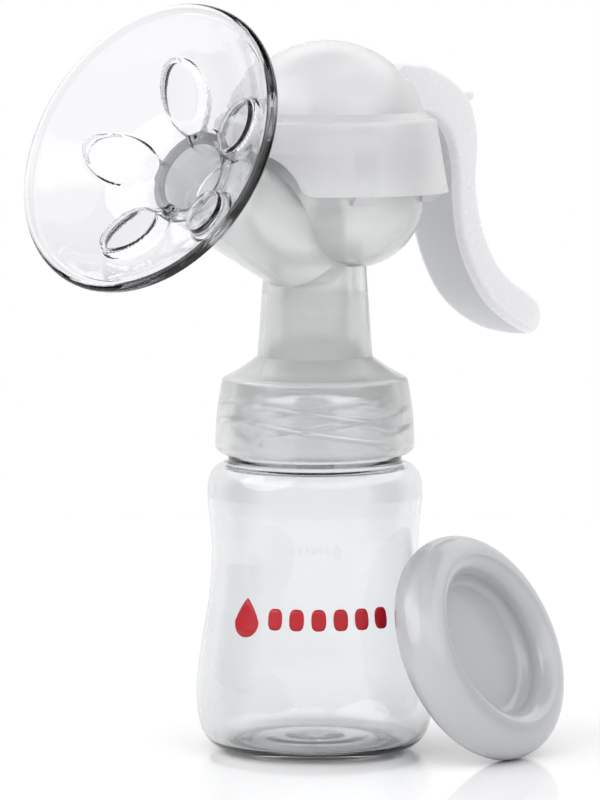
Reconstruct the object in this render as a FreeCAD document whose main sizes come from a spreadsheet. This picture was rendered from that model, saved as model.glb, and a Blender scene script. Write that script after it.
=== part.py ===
"""Manual breast pump: bottle, screw-on pump head, tilted cushioned funnel, domed cover and lever.

The origin is the centre of the bottle's foot. Z points up, the lever leans out along +X and the
funnel opens towards -X. Everything is symmetric about the XZ plane, except the threads, the
funnel's petals and the stand, which rests against the bottle.
"""
import FreeCAD, Part
import math
import os
import re
import Sketcher
from FreeCAD import Placement, Rotation, Vector

SIZES = {
    # bottle
    "foot_radius": 24.0, "belly_radius": 33.8, "belly_height": 16.4,
    "waist_radius": 29.4, "waist_height": 55.7, "shoulder_radius": 30.5,
    "collar_step": 1.9, "bottle_height": 104.5, "bottle_wall": 1.4,
    "punt_radius": 17.0, "punt_rise": 2.0, "foot_width": 3.0, "collar_band": 2.0,
    # screw joint between bottle and head
    "neck_radius": 22.6, "thread_depth": 1.9, "thread_lead": 20.8, "thread_width": 1.9,
    "thread_turn": 0.5, "thread_gap": 0.4, "thread_root_bite": 0.3,
    "starts": 4, "fit_gap": 0.05,
    # threaded skirt, shoulder and neck of the pump body
    "skirt_round": 2.6, "skirt_wall": 3.3, "skirt_top_wall": 1.5, "skirt_corner": 1.5,
    "skirt_lift": 0.2, "skirt_top_round": 2.0, "shoulder_sweep": 40.0,
    "shroud_low_radius": 16.3, "shroud_top_radius": 14.5, "shroud_wall": 1.4, "shroud_drop": 0.5,
    "seal_room": 0.4, "seat_room": 0.48,
    # bowl
    "head_offset": 5.6, "bowl_radius": 27.2, "bowl_round": 19.5, "bowl_wall": 1.5,
    "bowl_floor": 4.0, "post_radius": 5.2, "passage_radius": 8.8,
    # tunnel and funnel
    "funnel_tilt": 25.5, "tunnel_end": 57.0, "tunnel_wall": 2.6, "tunnel_taper": 0.6,
    "sleeve_gap": 0.1, "funnel_reach": 78.4, "funnel_radius": 41.0, "dish_radius": 20.7,
    "dish_depth": 15.0, "throat_depth": 19.0, "throat_radius": 9.4, "cushion_wall": 1.5,
    "rim_bead": 1.5, "dish_sweep": 40.0, "throat_round": 2.0, "sleeve_length": 13.0,
    "petal_length": 22.0, "petal_width": 14.6, "petal_rise": 6.6, "petal_wall": 1.2,
    "petal_ring": 21.6, "petal_lift": 1.4, "petal_lean": 27.0, "petal_turn": 14.0, "petals": 5,
    # milk tube, seal and valve
    "milk_tube_radius": 9.6, "milk_tube_wall": 1.4, "socket_depth": 1.0, "flare_radius": 14.3,
    "flare_round": 1.6, "flare_wall": 2.2, "seat_inset": 0.4, "seat_width": 3.0,
    "seat_thickness": 0.7, "seal_thickness": 1.0, "seal_inset": 2.4, "seal_reach": 1.0,
    "nozzle_radius": 7.0, "valve_wall": 1.2, "valve_cup": 8.0, "valve_bead": 1.6,
    "valve_length": 23.0, "valve_lip_width": 7.6, "valve_lip_gap": 0.3,
    # diaphragm and its stem
    "diaphragm_wall": 1.2, "diaphragm_gap": 0.3, "rim_hook": 4.0, "cup_round": 6.0,
    "stem_radius": 3.55, "stem_gap": 0.07, "stem_room": 0.6, "stem_chamfer": 0.8,
    "stem_neck_radius": 3.0, "stem_disc_radius": 11.0, "stem_disc": 1.6, "stem_cone": 2.0,
    "stem_head_radius": 6.4, "stem_head": 3.6, "stem_head_edge": 1.2,
    # dome cover
    "dome_over": 1.5, "cover_wall": 1.4, "shelf_over": 3.6, "flare_over": 7.0,
    "shelf_round": 1.6, "arch_half_width": 19.0, "arch_height": 11.8, "arch_flare": 4.6,
    "slot_reach": 14.5, "key_width": 6.0, "key_drop": 2.6, "key_foot": 2.5, "key_bulk": 2.0,
    "key_angle": 58.5,
    # lever and its pivot
    "pivot_reach": 20.0, "pin_radius": 2.0, "pin_gap": 0.02, "running_gap": 0.06,
    "lever_half_width": 10.0, "lever_side_gap": 0.5, "ear_thickness": 2.0, "ear_round": 5.0,
    "fork_half_width": 6.0, "fork_gap": 0.35, "tine_radius": 3.0, "tine_drop": 2.0,
    "tine_gap": 0.15, "fork_end": 15.5, "bend_x": 63.0, "tip_x": 97.5, "tip_round": 2.9,
    "ridge_width": 15.0, "ridge_thickness": 3.0, "ridge_tip": 64.4,
    # stand
    "stand_radius": 33.0, "stand_roll": 8.0, "stand_floor": 2.4, "stand_recess_floor": -1.5,
    "stand_lip": 5.4, "stand_lip_foot": 3.2, "stand_hollow": 20.0, "stand_tilt": 24.0,
    "stand_turn": -85.0, "stand_x": 18.2, "stand_y": -45.3,
}

# Heights above the bottle's lip, so that everything on a longer bottle rises with its neck.
LEVELS = {
    "collar_height": -22.5, "shoulder_height": -30.2, "thread_low": -15.9, "skirt_low": -20.1,
    "skirt_top": 1.7, "shroud_low": 7.5, "bowl_low": 32.3, "bowl_rim": 69.1, "post_low": 33.5,
    "post_top": 47.0, "axis_height": 35.0, "milk_tube_top": 26.1, "flare_height": 13.1,
    "flare_low": 8.9, "nozzle_low": -5.5, "diaphragm_floor": 56.5, "stem_low": 35.0,
    "dome_centre": 67.8, "dome_edge": 76.3, "cover_shelf": 73.5, "cover_low": 53.7,
    "slot_low": 68.5, "pivot_height": 77.5, "lever_top": 89.7, "bend_z": 67.0, "tip_z": 10.3,
    "ridge_z": 79.5,
}

# Sizes of pieces that fit over or into another one.
TIED = {
    "collar_radius": "neck_radius + collar_step",
    "thread_root": "neck_radius + thread_depth + thread_gap",
    "skirt_bulge_radius": "thread_root + skirt_wall",
    "skirt_top_radius": "thread_root + skirt_top_wall",
    "seal_inner": "neck_radius - seal_inset",
    "seal_outer": "neck_radius + seal_reach",
    "seat_radius": "neck_radius - seat_inset",
    "tunnel_bore": "throat_radius + cushion_wall + sleeve_gap",
    "tunnel_radius": "tunnel_bore + tunnel_wall",
    "dome_radius": "bowl_radius + dome_over",
    "cover_shelf_radius": "bowl_radius + shelf_over",
    "cover_low_radius": "bowl_radius + flare_over",
    "pivot_x": "head_offset + pivot_reach",
    "stem_head_low": "pivot_height - tine_drop + tine_radius + tine_gap",
}

doc = FreeCAD.newDocument("BreastPump")


def make_sheet():
    """The driving dimensions, one row each: the name, then the number under its alias."""
    table = doc.addObject("Spreadsheet::Sheet", "sizes")
    for row, (name, size) in enumerate((SIZES | LEVELS).items(), start=1):
        table.set(f"A{row}", name)
        table.set(f"B{row}", str(size))
        table.setAlias(f"B{row}", name)
    doc.recompute()
    return table


sheet = make_sheet()


def cells(expression):
    """The expression with each size's name turned into its cell in the sheet."""
    def cell(word):
        name = word[0]
        if name in TIED:
            return f"({cells(TIED[name])})"
        if name in LEVELS:
            return f"(sizes.bottle_height + sizes.{name})"
        return f"sizes.{name}" if name in SIZES else name
    return re.sub(r"[a-z][a-z_]*[a-z]", cell, expression)


def number(expression):
    """The value of an expression in the sheet's sizes."""
    return float(sheet.evalExpression(cells(expression)))


def bind(item, **expressions):
    """Drives properties of an item by expressions; a double underscore stands for a dot."""
    for name, expression in expressions.items():
        item.setExpression(name.replace("__", "."), cells(expression))


def new_body(name):
    body = doc.addObject("PartDesign::Body", name)
    body.Label = name
    return body


def origin_plane(body, role):
    return next(o for o in body.Origin.OriginFeatures if o.Role == role)


def new_sketch(body, name, plane="XZ_Plane", at=None):
    """A sketch on an origin plane; at gives the axis it is turned about and its bound offsets."""
    sketch = body.newObject("Sketcher::SketchObject", name)
    sketch.AttachmentSupport = (origin_plane(body, plane), [""])
    sketch.MapMode = "FlatFace"
    if at:
        axis, offsets = at
        start_angle = 1 if "Rotation__Angle" in offsets else 0
        sketch.AttachmentOffset = Placement(Vector(), Rotation(axis, start_angle))
        bind(sketch, **{f"AttachmentOffset__{key}": value for key, value in offsets.items()})
    return sketch


def arc_between(start, end, radius):
    """The shorter arc from start to end; a positive radius turns left, a negative one right."""
    chord = end - start
    half = chord.Length / 2
    side = math.copysign(1, radius)
    rise = math.sqrt(radius * radius - half * half)
    across = Vector(-chord.y, chord.x, 0).normalize()
    centre = (start + end) / 2 + across * rise * side
    first, last = (start, end) if side > 0 else (end, start)
    angles = [math.atan2(p.y - centre.y, p.x - centre.x) for p in (first, last)]
    circle = Part.Circle(centre, Vector(0, 0, 1), abs(radius))
    return Part.ArcOfCircle(circle, *angles)


def fix_point(sketch, edge, end, point, name):
    """Locks one end of an edge at two expressions, or on an axis where one is plain 0."""
    for kind, axis, expression in (("DistanceX", -2, point[0]), ("DistanceY", -1, point[1])):
        if expression == "0":
            sketch.addConstraint(Sketcher.Constraint("PointOnObject", edge, end, axis))
            continue
        made = Sketcher.Constraint(kind, -1, 1, edge, end, number(expression))
        index = sketch.addConstraint(made)
        label = f"{name}_{kind}"
        sketch.renameConstraint(index, label)
        sketch.setExpression(f"Constraints.{label}", cells(expression))


def outline(body, name, points, plane="XZ_Plane", at=None):
    """A closed sketch. Each point is (x, y) or (x, y, radius) where an arc leads to it."""
    sketch = new_sketch(body, name, plane, at)
    spots = [Vector(number(p[0]), number(p[1]), 0) for p in points]
    ends = []
    for i, point in enumerate(points):
        start, end = spots[i - 1], spots[i]
        if len(point) == 3:
            sketch.addGeometry(arc_between(start, end, number(point[2])), False)
            ends.append((1, 2) if number(point[2]) > 0 else (2, 1))
        else:
            sketch.addGeometry(Part.LineSegment(start, end), False)
            ends.append((1, 2))
    for i, point in enumerate(points):
        following = (i + 1) % len(points)
        joint = (i, ends[i][1], following, ends[following][0])
        sketch.addConstraint(Sketcher.Constraint("Coincident", *joint))
        fix_point(sketch, i, ends[i][1], point, f"p{i}")
        if len(point) == 3:
            index = sketch.addConstraint(Sketcher.Constraint("Radius", i, abs(number(point[2]))))
            sketch.renameConstraint(index, f"r{i}")
            sketch.setExpression(f"Constraints.r{i}", cells(f"abs({point[2]})"))
    return sketch


def turned(body, name, points, cut=False, at=None):
    """A turned ring or solid about the sketch's upright axis."""
    sketch = outline(body, name + "_outline", points, at=at)
    kind = "PartDesign::Groove" if cut else "PartDesign::Revolution"
    feature = body.newObject(kind, name)
    feature.Profile = sketch
    feature.ReferenceAxis = (sketch, ["V_Axis"])
    feature.Angle = 360
    return settle(body, feature, cut)


def extruded(body, name, sketch, width, cut=False):
    """A pad or pocket of a sketch, even about its plane."""
    feature = body.newObject("PartDesign::Pocket" if cut else "PartDesign::Pad", name)
    feature.Profile = sketch
    feature.SideType = "Symmetric"
    bind(feature, Length=width)
    return settle(body, feature, cut)


def settle(body, feature, cut):
    """Recomputes and makes sure that a cut took something away and that a pad added something."""
    before = feature.BaseFeature.Shape.Volume if feature.BaseFeature else 0.0
    doc.recompute()
    after = feature.Shape.Volume
    if (after >= before) if cut else (after <= before):
        raise ValueError(f"{feature.Name} changed nothing")
    return feature


def patterned(body, name, features, axis, count):
    """Copies of features evenly about an axis."""
    pattern = body.newObject("PartDesign::PolarPattern", name)
    pattern.Originals = features
    pattern.Axis = axis
    pattern.Angle = 360
    bind(pattern, Occurrences=count)
    body.Tip = pattern
    doc.recompute()
    return pattern


def bulge(r1, z1, r2, z2):
    """Radius of the arc between two places that runs straight up or down at the wider one."""
    return f"((({r1}) - ({r2}))^2 + (({z1}) - ({z2}))^2) / (2 * abs(({r1}) - ({r2})))"


def swell(r1, z1, r2, z2, turn):
    """Two equal arcs in an S, upright at both ends; turn is + or - for the first one."""
    middle = (f"(({r1}) + ({r2})) / 2", f"(({z1}) + ({z2})) / 2")
    back = "-" if turn == "+" else "+"
    radius = bulge(r1, z1, *middle)
    return [(*middle, f"{turn}({radius})"), (r2, z2, f"{back}({radius})")]


def thread(body, name, base, crest, start):
    """Ridges of the coarse right-hand screw, from base to crest radius, the first at start."""
    points = [(base, f"{start} - thread_width / 2"), (crest, f"{start} - thread_width / 4"),
              (crest, f"{start} + thread_width / 4"), (base, f"{start} + thread_width / 2")]
    section = outline(body, name + "_section", points)
    helix = body.newObject("PartDesign::AdditiveHelix", name)
    helix.Profile = section
    helix.ReferenceAxis = (section, ["V_Axis"])
    helix.Mode = "pitch-height-angle"
    bind(helix, Pitch="thread_lead", Height="thread_lead * thread_turn")
    settle(body, helix, cut=False)
    patterned(body, name + "_starts", [helix], (section, ["V_Axis"]), "starts")


UPRIGHT = Vector(0, 0, 1)
HEAD_AXIS = (UPRIGHT, {"Base__x": "head_offset"})
TUNNEL_AXIS = (UPRIGHT, {"Base__y": "axis_height", "Rotation__Angle": "90 - funnel_tilt"})


def make_bottle():
    """Clear waisted bottle with a punted base and a screw neck."""
    body = new_body("bottle")
    belly = ("belly_radius", "belly_height")
    waist = ("waist_radius", "waist_height")
    shoulder = ("shoulder_radius", "shoulder_height")
    collar = ("collar_radius", "collar_height")
    inner = {spot: (f"{spot[0]} - bottle_wall", spot[1]) for spot in (belly, waist, shoulder)}
    neck_inside = "neck_radius - bottle_wall"
    inner_foot = ("foot_radius - 1", "bottle_wall")
    turned(body, "wall", [
        ("0", "punt_rise"), ("punt_radius", "punt_rise"), ("foot_radius - foot_width", "0"),
        ("foot_radius", "0"), (*belly, bulge(*belly, "foot_radius", "0")),
        *swell(*belly, *waist, "+"), *swell(*waist, *shoulder, "-"),
        (*collar, bulge(*shoulder, *collar)), ("collar_radius", "collar_height + collar_band"),
        ("neck_radius", "collar_height + collar_band"), ("neck_radius", "bottle_height"),
        (neck_inside, "bottle_height"), (neck_inside, "collar_height"),
        (*inner[shoulder], "-" + bulge(*inner[shoulder], neck_inside, "collar_height")),
        *swell(*inner[shoulder], *inner[waist], "-"), *swell(*inner[waist], *inner[belly], "+"),
        (*inner_foot, "-" + bulge(*inner[belly], *inner_foot)),
        ("punt_radius", "punt_rise + bottle_wall"), ("0", "punt_rise + bottle_wall"),
    ])
    thread(body, "screw", "neck_radius - thread_root_bite", "neck_radius + thread_depth",
           "thread_low")


def make_collar_seal():
    """Flat silicone ring between the bottle's lip and the seat above it."""
    body = new_body("collar_seal")
    top = "bottle_height + seal_thickness"
    turned(body, "ring", [("seal_inner", "bottle_height"), ("seal_outer", "bottle_height"),
                          ("seal_outer", top), ("seal_inner", top)])


def make_pump_body():
    """Frosted head moulding: threaded skirt, shoulder, neck shroud, bowl, tunnel and guide post."""
    body = new_body("pump_body")
    roof = "milk_tube_top - socket_depth"
    floor = "bowl_low + bowl_floor"
    corner_low = "skirt_top - skirt_corner"
    skirt_side = ("skirt_bulge_radius", "skirt_low + skirt_round")
    turned(body, "skirt_and_shroud", [
        ("0", "skirt_low"), ("skirt_bulge_radius - skirt_round", "skirt_low"),
        ("skirt_bulge_radius", "skirt_low + skirt_round", "skirt_round"),
        ("skirt_top_radius", corner_low, bulge(*skirt_side, "skirt_top_radius", corner_low)),
        ("skirt_top_radius - skirt_corner", "skirt_top + skirt_lift", "skirt_top_round"),
        ("shroud_low_radius", "shroud_low", "-shoulder_sweep"),
        ("shroud_top_radius", "bowl_low + 1"), ("0", "bowl_low + 1")])
    turned(body, "bowl", [
        ("0", "bowl_low"), ("bowl_radius - bowl_round", "bowl_low"),
        ("bowl_radius", "bowl_low + bowl_round", "bowl_round"), ("bowl_radius", "bowl_rim"),
        ("0", "bowl_rim")], at=HEAD_AXIS)
    turned(body, "tunnel", [
        ("0", "0"), ("tunnel_radius - tunnel_taper", "0"), ("tunnel_radius", "tunnel_end"),
        ("0", "tunnel_end")], at=TUNNEL_AXIS)
    inner_shoulder = "bottle_height + seal_room"
    turned(body, "skirt_inside", [
        ("0", "skirt_low - 1"), ("thread_root", "skirt_low - 1"), ("thread_root", inner_shoulder),
        ("seat_radius", "bottle_height + seal_thickness + seat_thickness + seat_room"),
        ("shroud_low_radius - shroud_wall", "shroud_low - shroud_drop"),
        ("shroud_top_radius - shroud_wall", roof), ("0", roof)], cut=True)
    turned(body, "tube_socket", [
        ("0", roof), ("milk_tube_radius + fit_gap", roof),
        ("milk_tube_radius + fit_gap", "milk_tube_top"), ("passage_radius", "milk_tube_top"),
        ("passage_radius", "axis_height"), ("0", "axis_height")], cut=True)
    turned(body, "tunnel_inside", [
        ("0", "0"), ("tunnel_bore", "0"), ("tunnel_bore", "tunnel_end + 1"),
        ("0", "tunnel_end + 1")], cut=True, at=TUNNEL_AXIS)
    turned(body, "bowl_inside", [
        ("0", floor), ("bowl_radius - bowl_round", floor),
        ("bowl_radius - bowl_wall", f"{floor} + bowl_round - bowl_wall", "bowl_round - bowl_wall"),
        ("bowl_radius - bowl_wall", "bowl_rim + 1"), ("0", "bowl_rim + 1")],
        cut=True, at=HEAD_AXIS)
    turned(body, "guide_post", [
        ("0", "post_low"), ("post_radius", "post_low"), ("post_radius", "post_top"),
        ("0", "post_top")], at=HEAD_AXIS)
    turned(body, "guide_bore", [
        ("0", "stem_low - stem_room"), ("stem_radius + stem_gap", "stem_low - stem_room"),
        ("stem_radius + stem_gap", "post_top + 1"), ("0", "post_top + 1")],
        cut=True, at=HEAD_AXIS)
    thread(body, "screw", "thread_root + thread_root_bite", "thread_root - thread_depth",
           "thread_low + thread_lead / starts / 2")


def make_milk_tube():
    """Insert that closes the shroud from below: tube, flared seat on the seal, and valve nozzle."""
    body = new_body("milk_tube")
    seat_low = "bottle_height + seal_thickness"
    inner = "milk_tube_radius - milk_tube_wall"
    turned(body, "tube", [
        ("nozzle_radius - milk_tube_wall", "nozzle_low"), ("nozzle_radius", "nozzle_low"),
        ("nozzle_radius", "flare_low - 1"), ("flare_radius - flare_round", "flare_low - 3"),
        ("seat_radius - seat_width", seat_low), ("seat_radius", seat_low),
        ("seat_radius", f"{seat_low} + seat_thickness"), ("flare_radius", "flare_low - flare_wall"),
        ("flare_radius", "flare_low"), ("milk_tube_radius", "flare_height"),
        ("milk_tube_radius", "milk_tube_top - fit_gap"), (inner, "milk_tube_top - fit_gap"),
        (inner, "flare_height"), ("nozzle_radius - milk_tube_wall", "flare_height - 3")])


def lofted(body, name, levels, cut=False):
    """A loft between ellipses, each given as its half width, half depth and height."""
    sections = []
    for i, (wide, deep, level) in enumerate(levels):
        sketch = new_sketch(body, f"{name}_{i}", "XY_Plane", (UPRIGHT, {"Base__z": level}))
        ellipse = Part.Ellipse(Vector(), number(wide), number(deep))
        sketch.addGeometry(ellipse, False)
        sketch.exposeInternalGeometry(0)
        sections.append(sketch)
    kind = "PartDesign::SubtractiveLoft" if cut else "PartDesign::AdditiveLoft"
    feature = body.newObject(kind, name)
    feature.Profile = sections[0]
    feature.Sections = sections[1:]
    return settle(body, feature, cut)


def make_duckbill_valve():
    """White silicone one-way valve: a sleeve on the nozzle that narrows to two flat lips."""
    body = new_body("duckbill_valve")
    bore = "nozzle_radius + fit_gap"
    outer = "nozzle_radius + fit_gap + valve_wall"
    top = "nozzle_low + valve_cup"
    lips = "nozzle_low + valve_cup - valve_length"
    turned(body, "sleeve", [
        ("0", "nozzle_low - 1"), (outer, "nozzle_low - 1"), (outer, f"{top} - valve_bead"),
        (f"{outer} + valve_bead / 2", f"{top} - valve_bead"), (f"{outer} + valve_bead / 2", top),
        ("0", top)])
    lofted(body, "beak", [(f"{outer} - 0.2", f"{outer} - 0.21", "nozzle_low - 0.5"),
                          ("valve_lip_width", "valve_wall + valve_lip_gap", lips)])
    turned(body, "bore", [
        ("0", "nozzle_low - 1"), (bore, "nozzle_low - 1"), (bore, f"{top} + 1"),
        ("0", f"{top} + 1")], cut=True)
    lofted(body, "channel", [(f"{bore} - 0.3", f"{bore} - 0.31", "nozzle_low"),
                             ("valve_lip_width - valve_wall", "valve_lip_gap", f"{lips} - 0.1")], cut=True)


def make_massage_cushion():
    """Clear soft funnel: beaded rim, shallow dish with hollow petals, and a sleeve."""
    body = new_body("massage_cushion")
    body.Placement = Placement(Vector(), Rotation(Vector(0, -1, 0), 1))
    bind(body, Placement__Base__z="axis_height", Placement__Rotation__Angle="90 - funnel_tilt")
    rim = "funnel_reach"
    dish = "funnel_reach - dish_depth"
    throat = "funnel_reach - throat_depth"
    sleeve = "throat_radius + cushion_wall"
    back = ("dish_radius + 0.4 * cushion_wall", f"{dish} - 0.95 * cushion_wall")
    collar = "tunnel_end + fit_gap"
    collar_edge = "tunnel_radius + 0.3"
    back_edge = ("funnel_radius", f"{rim} - rim_bead")
    back_sweep = "dish_sweep + cushion_wall"
    turned(body, "dish", [
        ("throat_radius", "tunnel_end - sleeve_length"), (sleeve, "tunnel_end - sleeve_length"),
        (sleeve, collar), ("tunnel_radius", collar), back,
        (*back_edge, back_sweep),
        ("funnel_radius + rim_bead", rim, "rim_bead"),
        ("funnel_radius", f"{rim} + rim_bead", "rim_bead"),
        ("funnel_radius - rim_bead", rim, "rim_bead"), ("dish_radius", dish, "-dish_sweep"),
        ("throat_radius + throat_round", f"{throat} + 0.4"),
        ("throat_radius", f"{throat} - throat_round", "throat_round")])
    petals = petal(body, "petals", "PartDesign::AdditiveEllipsoid", "0")
    patterned(body, "petals_round", [petals], (body.Origin.OriginFeatures[2], [""]), "petals")
    turned(body, "behind_dish", [
        (collar_edge, "tunnel_end - 2"), ("funnel_radius", "tunnel_end - 2"), back_edge,
        (*back, f"-({back_sweep})"), (collar_edge, collar)], cut=True)
    hollows = petal(body, "hollows", "PartDesign::SubtractiveEllipsoid", "petal_wall")
    patterned(body, "hollows_round", [hollows], (body.Origin.OriginFeatures[2], [""]), "petals")


def petal(body, name, kind, wall):
    """One petal's ellipsoid, leaning with the dish and thinner all round by a wall."""
    feature = body.newObject(kind, name)
    bind(feature, Radius1=f"petal_rise - {wall}", Radius2=f"petal_length / 2 - {wall}",
         Radius3=f"petal_width / 2 - {wall}")
    turn = "rotation(vector(0; 0; 1); petal_turn) * rotation(vector(0; -1; 0); petal_lean)"
    spot = ("vector(petal_ring * cos(petal_turn); petal_ring * sin(petal_turn); "
            "funnel_reach - dish_depth + petal_lift)")
    feature.setExpression("Placement", cells(f"placement({spot}; {turn})"))
    return settle(body, feature, "Subtractive" in kind)


def make_diaphragm():
    """White silicone cup hooked over the bowl's rim, its floor held by the stem."""
    body = new_body("diaphragm")
    bind(body, Placement__Base__x="head_offset")
    outside = "bowl_radius - bowl_wall - diaphragm_gap"
    inside = f"{outside} - diaphragm_wall"
    hook = "bowl_radius + fit_gap"
    over = "bowl_rim + fit_gap"
    hole = "stem_neck_radius + fit_gap"
    floor_top = "diaphragm_floor + diaphragm_wall"
    turned(body, "cup", [
        (hole, "diaphragm_floor"), (f"{outside} - cup_round", "diaphragm_floor"),
        (outside, "diaphragm_floor + cup_round", "cup_round"), (outside, over), (hook, over),
        (hook, "bowl_rim - rim_hook"), (f"{hook} + diaphragm_wall", "bowl_rim - rim_hook"),
        (f"{hook} + diaphragm_wall", f"{over} + diaphragm_wall"),
        (inside, f"{over} + diaphragm_wall"), (inside, "diaphragm_floor + cup_round"),
        (f"{outside} - cup_round", floor_top, "-(cup_round - diaphragm_wall)"),
        (hole, floor_top)])


def make_stem():
    """White stem: guide rod, disc under the diaphragm, neck, and the head the fork lifts."""
    body = new_body("diaphragm_stem")
    bind(body, Placement__Base__x="head_offset")
    disc_low = "diaphragm_floor - stem_disc"
    edge = "stem_head_low + stem_head_edge"
    crown = "stem_head - stem_head_edge"
    dome = f"(stem_head_radius^2 + ({crown})^2) / (2 * ({crown}))"
    turned(body, "stem", [
        ("0", "stem_low"), ("stem_radius - stem_chamfer", "stem_low"),
        ("stem_radius", "stem_low + stem_chamfer"), ("stem_radius", f"{disc_low} - stem_cone"),
        ("stem_disc_radius", disc_low), ("stem_disc_radius", "diaphragm_floor"),
        ("stem_neck_radius", "diaphragm_floor"), ("stem_neck_radius", "stem_head_low"),
        ("stem_head_radius", "stem_head_low"), ("stem_head_radius", edge),
        ("0", "stem_head_low + stem_head", dome)])


def cover_key(body, name, angle):
    """A rib inside the skirt that centres the cover on the bowl."""
    sketch = outline(body, name + "_outline", [
        ("bowl_radius + fit_gap", "cover_low - key_drop"),
        ("bowl_radius + fit_gap + key_foot", "cover_low - key_drop"),
        ("cover_low_radius - cover_wall / 2", "cover_low + 0.5"),
        ("cover_shelf_radius - cover_wall / 2", "cover_shelf - 1"),
        ("bowl_radius + fit_gap + key_bulk", "cover_shelf - 1"),
        ("bowl_radius + fit_gap + key_bulk", "bowl_rim - rim_hook - 1"),
        ("bowl_radius + fit_gap", "bowl_rim - rim_hook - 1")],
        at=(Vector(0, 1, 0), {"Rotation__Angle": angle}))
    extruded(body, name, sketch, "key_width")


def make_dome_cover():
    """Frosted cap: dome, shelf and flared skirt, arched over the tunnel and slotted for the lever."""
    body = new_body("dome_cover")
    bind(body, Placement__Base__x="head_offset")
    edge_in = "sqrt(dome_radius^2 - (dome_edge - dome_centre)^2)"
    inner_dome = "dome_radius - cover_wall"
    inner_edge = f"sqrt(({inner_dome})^2 - (dome_edge - dome_centre)^2)"
    turned(body, "shell", [
        ("cover_low_radius - cover_wall", "cover_low"), ("cover_low_radius", "cover_low"),
        ("cover_shelf_radius", "cover_shelf"),
        ("cover_shelf_radius - cover_wall", "cover_shelf + 1.2", "shelf_round"), (edge_in, "dome_edge"),
        ("0", "dome_centre + dome_radius", "dome_radius"),
        ("0", f"dome_centre + {inner_dome}"), (inner_edge, "dome_edge", f"-({inner_dome})"),
        ("cover_shelf_radius - cover_wall - 1", "cover_shelf"),
        ("cover_shelf_radius - cover_wall", "cover_shelf - 1")])
    flare_side = "arch_half_width - 0.9 * arch_flare"
    flare_top = "cover_low + 0.6 * arch_flare"
    arch_top = "cover_low + arch_height"
    crown = f"(({flare_side})^2 + ({arch_top} - ({flare_top}))^2) / (2 * ({arch_top} - ({flare_top})))"
    arch = outline(body, "arch_outline", [
        ("-(arch_half_width + 2)", "cover_low - 4"), ("arch_half_width + 2", "cover_low - 4"),
        ("arch_half_width", "cover_low"), (flare_side, flare_top, "-arch_flare"),
        ("0", arch_top, crown), (f"-({flare_side})", flare_top, crown),
        ("-arch_half_width", "cover_low", "-arch_flare")], "YZ_Plane",
        at=(UPRIGHT, {"Base__z": "-cover_low_radius - 1"}))
    pocket = body.newObject("PartDesign::Pocket", "arch")
    pocket.Profile = arch
    pocket.Reversed = True
    bind(pocket, Length="dome_radius")
    settle(body, pocket, cut=True)
    slot = outline(body, "slot_outline", [
        ("slot_reach", "slot_low"), ("cover_low_radius + 4", "slot_low"),
        ("cover_low_radius + 4", "lever_top + 3"), ("slot_reach", "lever_top + 3")])
    extruded(body, "slot", slot, "2 * (lever_half_width + lever_side_gap)", cut=True)
    for i, angle in enumerate(("key_angle", "180 - key_angle", "180 + key_angle", "-key_angle")):
        cover_key(body, f"key_{i + 1}", angle)
    ear_middle = "(lever_half_width + lever_side_gap + ear_thickness / 2)"
    ear_reach = f"sqrt((dome_radius - cover_wall / 2)^2 - {ear_middle}^2)"
    low, high = "pivot_height - ear_round", "pivot_height + ear_round"
    edges = [f"sqrt(({ear_reach})^2 - ({z} - dome_centre)^2)" for z in (low, high)]
    for side, sign in (("near", "-"), ("far", "")):
        offset = f"{sign}{ear_middle}"
        ear = outline(body, f"{side}_ear_outline", [
            (edges[0], low), (edges[1], high, ear_reach),
            ("pivot_reach", high), ("pivot_reach - ear_round", "pivot_height", "ear_round"),
            ("pivot_reach", low, "ear_round")],
            at=(UPRIGHT, {"Base__z": f"-({offset})"}))
        extruded(body, f"{side}_ear", ear, "ear_thickness")
    bore_across(body, "pin_holes", "pivot_reach", "pin_radius + pin_gap")


def bore_across(body, name, x, radius):
    """A hole along Y through everything at the pivot's height."""
    sketch = new_sketch(body, name + "_outline")
    centre = Vector(number(x), number("pivot_height"), 0)
    sketch.addGeometry(Part.Circle(centre, UPRIGHT, number(radius)), False)
    fix_point(sketch, 0, 3, (x, "pivot_height"), "centre")
    index = sketch.addConstraint(Sketcher.Constraint("Radius", 0, number(radius)))
    sketch.renameConstraint(index, "radius")
    sketch.setExpression("Constraints.radius", cells(radius))
    extruded(body, name, sketch, "4 * lever_half_width", cut=True)


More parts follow.
